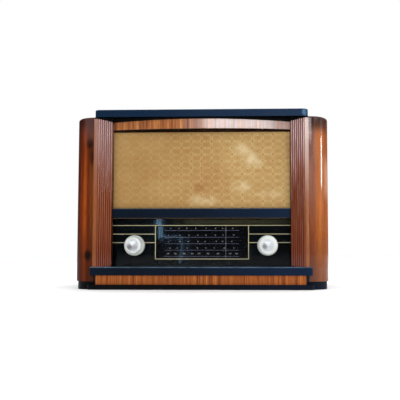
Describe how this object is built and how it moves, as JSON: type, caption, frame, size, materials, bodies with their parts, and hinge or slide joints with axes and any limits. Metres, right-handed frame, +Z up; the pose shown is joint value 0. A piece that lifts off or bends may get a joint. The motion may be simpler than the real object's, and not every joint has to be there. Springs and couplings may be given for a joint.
{
  "type": "radio receiver",
  "caption": "Veneered table radio with a bowed cloth grille, reeded pilasters, a glass tuning scale with cord-driven pointer and two double knobs.",
  "frame": {"origin": "centre of the box round the whole set, on the surface that it stands on", "axes": "+X to the viewer's right along the set's width, +Y to the rear, +Z up; the front faces -Y"},
  "size_m": [0.53, 0.247, 0.37],
  "materials": {
    "side_veneer": "glossy red-brown veneer with vertical grain",
    "cross_veneer": "glossy golden-brown veneer, grain across the rail",
    "reeded_wood": "stained and varnished reeded moulding",
    "blue_black_lacquer": "worn blue-black gloss lacquer on wood",
    "black_paint": "black paint on wood",
    "plywood": "bare plywood",
    "grille_fabric": "woven straw-coloured cloth",
    "scale_glass": "clear float glass over a dark scale",
    "scale_board": "satin black paint on steel",
    "pointer_paint": "cream paint",
    "bright_steel": "bright plated steel",
    "ivory_plastic": "polished ivory plastic",
    "aged_plastic": "duller ivory plastic",
    "spun_metal": "spun aluminium",
    "brass": "turned brass",
    "cream_plastic": "cream moulded plastic",
    "cord_fibre": "braided drive cord",
    "brown_board": "brown laminated insulating board",
    "control_metal": "dull plated steel",
    "light_alloy": "aluminium sheet",
    "chassis_plate": "zinc-plated steel sheet",
    "speaker_paint": "dark grey paint on pressed steel",
    "cone_paper": "dark pulp paper",
    "magnet_metal": "grey cast magnet and pot",
    "core_iron": "laminated core with a paper-wrapped winding",
    "valve_glass": "clear glass bulb",
    "black_rubber": "black rubber",
    "pressed_board": "brown pressed fibre board",
    "lamp_brass": "brass holder with a small bulb"
  },
  "bodies": {
    "root": {"plinth_front": "black_paint", "plinth_side_left": "black_paint", "plinth_side_right": "black_paint", "plinth_rear": "black_paint", "cabinet_floor": "plywood", "side_panel_left": "side_veneer", "side_panel_right": "side_veneer", "cabinet_roof": "side_veneer", "top_plate": "blue_black_lacquer", "pilaster_left": "reeded_wood", "pilaster_right": "reeded_wood", "top_rail": "cross_veneer", "mid_rail": "blue_black_lacquer", "front_shelf": "blue_black_lacquer", "lower_rail": "cross_veneer", "dial_cheeks": "black_paint", "baffle_board": "plywood", "grille_cloth": "grille_fabric", "dial_glass": "scale_glass", "scale_plate": "scale_board", "pointer_rail": "bright_steel", "drive_cord": "cord_fibre", "dial_lamps": "lamp_brass", "volume_control": "control_metal", "band_switch": "brown_board", "capacitor_frame": "light_alloy", "chassis": "chassis_plate", "chassis_washers": "black_rubber", "chassis_bolts": "bright_steel", "speaker_basket": "speaker_paint", "speaker_cone": "cone_paper", "speaker_magnet": "magnet_metal", "speaker_screws": "bright_steel", "mains_transformer": "core_iron", "output_transformer": "core_iron", "valve_sockets": "cream_plastic", "valves": "valve_glass", "coil_cans": "light_alloy", "smoothing_can": "light_alloy", "socket_strip": "brown_board", "sockets": "brass", "lead_grommet": "black_rubber", "back_battens": "plywood", "rear_cover": "pressed_board", "cover_screws": "bright_steel"},
    "volume": {"volume_knob": "ivory_plastic", "volume_insert": "spun_metal", "volume_shaft": "bright_steel"},
    "tone": {"tone_ring": "aged_plastic", "tone_sleeve": "bright_steel"},
    "band": {"band_knob": "ivory_plastic", "band_insert": "spun_metal", "band_shaft": "bright_steel"},
    "tuning": {"tuning_ring": "aged_plastic", "tuning_sleeve": "brass"},
    "rotor": {"capacitor_rotor": "light_alloy", "drive_drum": "light_alloy"},
    "pointer": {"pointer": "pointer_paint"},
    "pulley_left": {"pulley_left": "cream_plastic"},
    "pulley_right": {"pulley_right": "cream_plastic"}
  },
  "joints": [
    {"name": "volume_turn", "type": "hinge", "parent": "root", "child": "volume", "pos_m": [-0.137, -0.1165, 0.09], "axis": [0, 1, 0], "range_deg": [-135, 135]},
    {"name": "tone_turn", "type": "hinge", "parent": "root", "child": "tone", "pos_m": [-0.137, -0.0965, 0.09], "axis": [0, 1, 0], "range_deg": [-135, 135]},
    {"name": "band_turn", "type": "hinge", "parent": "root", "child": "band", "pos_m": [0.137, -0.1165, 0.09], "axis": [0, 1, 0], "range_deg": [-60, 60]},
    {"name": "tuning_turn", "type": "hinge", "parent": "root", "child": "tuning", "pos_m": [0.137, -0.0965, 0.09], "axis": [0, 1, 0], "range_deg": [-1302, 260]},
    {"name": "pointer_slide", "type": "slide", "parent": "root", "child": "pointer", "axis": [1, 0, 0], "range_m": [-0.125, 0.025]},
    {"name": "rotor_turn", "type": "hinge", "parent": "root", "child": "rotor", "pos_m": [0.06, -0.053, 0.134], "axis": [0, 1, 0], "range_deg": [-150, 30]},
    {"name": "pulley_left_turn", "type": "hinge", "parent": "root", "child": "pulley_left", "pos_m": [-0.112, -0.0605, 0.144], "axis": [0, 1, 0], "range_deg": [-1194, 239]},
    {"name": "pulley_right_turn", "type": "hinge", "parent": "root", "child": "pulley_right", "pos_m": [0.152, -0.0605, 0.144], "axis": [0, 1, 0], "range_deg": [-1194, 239]}
  ],
  "couplings": [
    {"joint": "pointer_slide", "follows": "tuning_turn", "m_per_rad": 0.0055},
    {"joint": "rotor_turn", "follows": "tuning_turn", "ratio": 0.11519},
    {"joint": "pulley_left_turn", "follows": "tuning_turn", "ratio": 0.91667},
    {"joint": "pulley_right_turn", "follows": "tuning_turn", "ratio": 0.91667}
  ]
}
